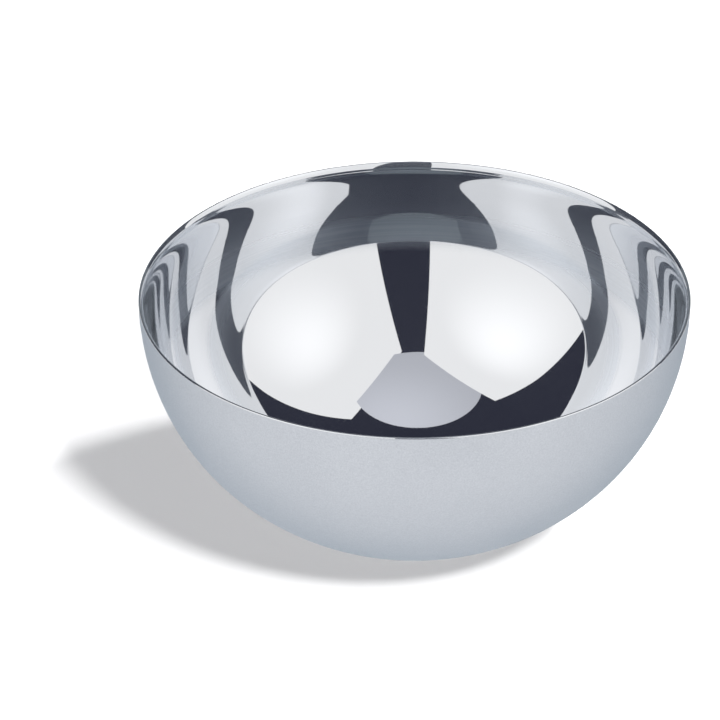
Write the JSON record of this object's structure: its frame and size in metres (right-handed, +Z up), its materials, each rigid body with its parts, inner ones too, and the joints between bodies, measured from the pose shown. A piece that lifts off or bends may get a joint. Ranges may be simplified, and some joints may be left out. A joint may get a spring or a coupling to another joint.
{
  "type": "shaving bowl",
  "caption": "Deep round metal bowl for working up shaving lather, mirror inside and satin outside, with a narrow polished lip and a flat foot.",
  "frame": {"origin": "centre of the flat foot, on the surface that the bowl stands on", "axes": "+Z up along the bowl's axis, out of its mouth; the bowl is round, so X and Y are any two directions square to it"},
  "size_m": [0.105, 0.105, 0.0475],
  "materials": {
    "stainless_steel": "fine satin outside and under the foot, mirror polish inside and on the lip"
  },
  "bodies": {
    "root": {"bowl_shell": "stainless_steel"}
  },
  "joints": []
}
